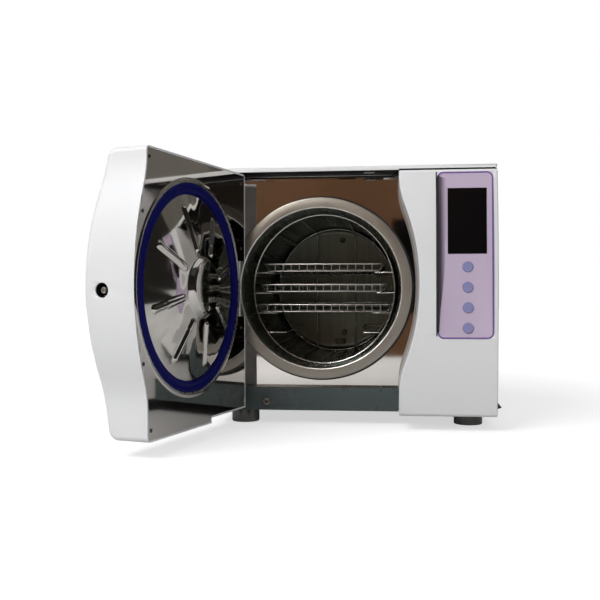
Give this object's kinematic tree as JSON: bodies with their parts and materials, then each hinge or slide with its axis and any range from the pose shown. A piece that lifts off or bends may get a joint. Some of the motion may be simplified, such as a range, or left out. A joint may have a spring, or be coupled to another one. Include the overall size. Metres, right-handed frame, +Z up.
{
  "type": "benchtop steam autoclave",
  "caption": "White benchtop steam autoclave with a side-hinged bowed door, round steel chamber, wire rack and trays, and a control panel with a display and push buttons.",
  "frame": {"origin": "middle of the footprint on the floor, with the door open", "axes": "+Z up, the front faces -Y, +X is the viewer's right when facing the front"},
  "size_m": [0.5356, 0.9242, 0.4072],
  "materials": {
    "mirror_steel": "mirror-polished stainless steel",
    "chamber_steel": "drawn stainless steel, satin inside",
    "ring_steel": "turned and brushed",
    "wire_steel": "bright polished wire",
    "tray_steel": "electropolished wire",
    "frame_steel": "plain sheet",
    "casing_white": "semi-gloss enamel",
    "moulding_white": "smooth gloss moulding",
    "panel_lilac": "fine matt film",
    "display_black": "dark clear window over a display",
    "button_blue": "soft satin caps",
    "board_green": "circuit board",
    "gasket_blue": "smooth silicone rubber",
    "channel_steel": "satin ring",
    "base_grey": "dark grey enamel",
    "foot_rubber": "black rubber",
    "black_plastic": "black moulding",
    "rocker_green": "dark green rocker",
    "tank_plastic": "natural moulded plastic",
    "insulation": "wool blanket",
    "heater_metal": "band with mica inside",
    "pump_metal": "cast body",
    "brass": "plain brass",
    "screw_steel": "zinc-plated",
    "filter_white": "capsule moulding"
  },
  "bodies": {
    "casing": {"chamber_ring": "ring_steel", "chamber_vessel": "chamber_steel", "chamber_fittings": "chamber_steel", "band_heaters": "heater_metal", "insulation_jacket": "insulation", "vessel_saddles": "frame_steel", "base_chassis": "base_grey", "front_plate": "mirror_steel", "hood": "casing_white", "rear_panel": "casing_white", "feet": "foot_rubber", "control_fascia": "moulding_white", "control_panel": "panel_lilac", "display_window": "display_black", "display_board": "board_green", "keypad_board": "board_green", "lock_housing": "frame_steel", "door_switch": "black_plastic", "hinge_plates": "frame_steel", "hinge_pins": "screw_steel", "bay_frame": "frame_steel", "clean_water_tank": "tank_plastic", "used_water_tank": "tank_plastic", "lid_hinge": "moulding_white", "rocker_housing": "black_plastic", "vacuum_pump": "pump_metal", "steam_generator": "chamber_steel", "water_pump": "pump_metal", "power_supply": "frame_steel", "solenoid_valves": "brass", "fan_frame": "black_plastic", "condenser": "heater_metal", "main_board": "board_green", "mains_inlet": "black_plastic", "air_filter": "filter_white", "safety_valve": "brass", "hose_barbs": "brass", "drain_port": "ring_steel", "hood_screws": "screw_steel", "rear_screws": "screw_steel"},
    "door": {"door_shell": "moulding_white", "door_panel": "mirror_steel", "gasket_channel": "channel_steel", "door_gasket": "gasket_blue", "door_disc": "mirror_steel", "door_beam": "frame_steel", "lock_keeper": "frame_steel", "door_screws": "screw_steel"},
    "bolt": {"lock_bolt": "screw_steel"},
    "rack": {"tray_rack": "wire_steel"},
    "upper_tray": {"tray_upper": "tray_steel"},
    "middle_tray": {"tray_middle": "tray_steel"},
    "lower_tray": {"tray_lower": "tray_steel"},
    "button_a": {"button_1": "button_blue"},
    "button_b": {"button_2": "button_blue"},
    "button_c": {"button_3": "button_blue"},
    "button_d": {"button_4": "button_blue"},
    "rocker": {"power_rocker": "rocker_green"},
    "lid": {"tank_lid": "moulding_white"},
    "fan": {"fan_rotor": "black_plastic"}
  },
  "joints": [
    {"name": "door_hinge", "type": "hinge", "parent": "casing", "child": "door", "pos_m": [-0.16018, -0.16226, 0.2095], "axis": [0, 0, 1], "range_deg": [0, 104.8]},
    {"name": "lock_bolt_slide", "type": "slide", "parent": "casing", "child": "bolt", "axis": [-1, 0, 0], "range_m": [0, 0.011]},
    {"name": "rack_slide", "type": "slide", "parent": "casing", "child": "rack", "axis": [0, 1, 0], "range_m": [-0.33, 0]},
    {"name": "upper_tray_slide", "type": "slide", "parent": "rack", "child": "upper_tray", "axis": [0, 1, 0], "range_m": [-0.3, 0]},
    {"name": "middle_tray_slide", "type": "slide", "parent": "rack", "child": "middle_tray", "axis": [0, 1, 0], "range_m": [-0.3, 0]},
    {"name": "lower_tray_slide", "type": "slide", "parent": "rack", "child": "lower_tray", "axis": [0, 1, 0], "range_m": [-0.3, 0]},
    {"name": "button_a_press", "type": "slide", "parent": "casing", "child": "button_a", "axis": [0, 0.9987, -0.0503], "range_m": [0, 0.0012], "stiffness_N_per_m": 400, "springref_m": -0.0005},
    {"name": "button_b_press", "type": "slide", "parent": "casing", "child": "button_b", "axis": [0, 0.9987, -0.0503], "range_m": [0, 0.0012], "stiffness_N_per_m": 400, "springref_m": -0.0005},
    {"name": "button_c_press", "type": "slide", "parent": "casing", "child": "button_c", "axis": [0, 0.9987, -0.0503], "range_m": [0, 0.0012], "stiffness_N_per_m": 400, "springref_m": -0.0005},
    {"name": "button_d_press", "type": "slide", "parent": "casing", "child": "button_d", "axis": [0, 0.9987, -0.0503], "range_m": [0, 0.0012], "stiffness_N_per_m": 400, "springref_m": -0.0005},
    {"name": "rocker_tilt", "type": "hinge", "parent": "casing", "child": "rocker", "pos_m": [0.25832, -0.13185, 0.0395], "axis": [0, 1, 0], "range_deg": [0, 22]},
    {"name": "lid_hinge_turn", "type": "hinge", "parent": "casing", "child": "lid", "pos_m": [0.13742, 0.05155, 0.4026], "axis": [-1, 0, 0], "range_deg": [0, 100]},
    {"name": "fan_spin", "type": "hinge", "parent": "casing", "child": "fan", "pos_m": [0.18722, 0.42414, 0.313], "axis": [0, 1, 0], "continuous": true}
  ]
}
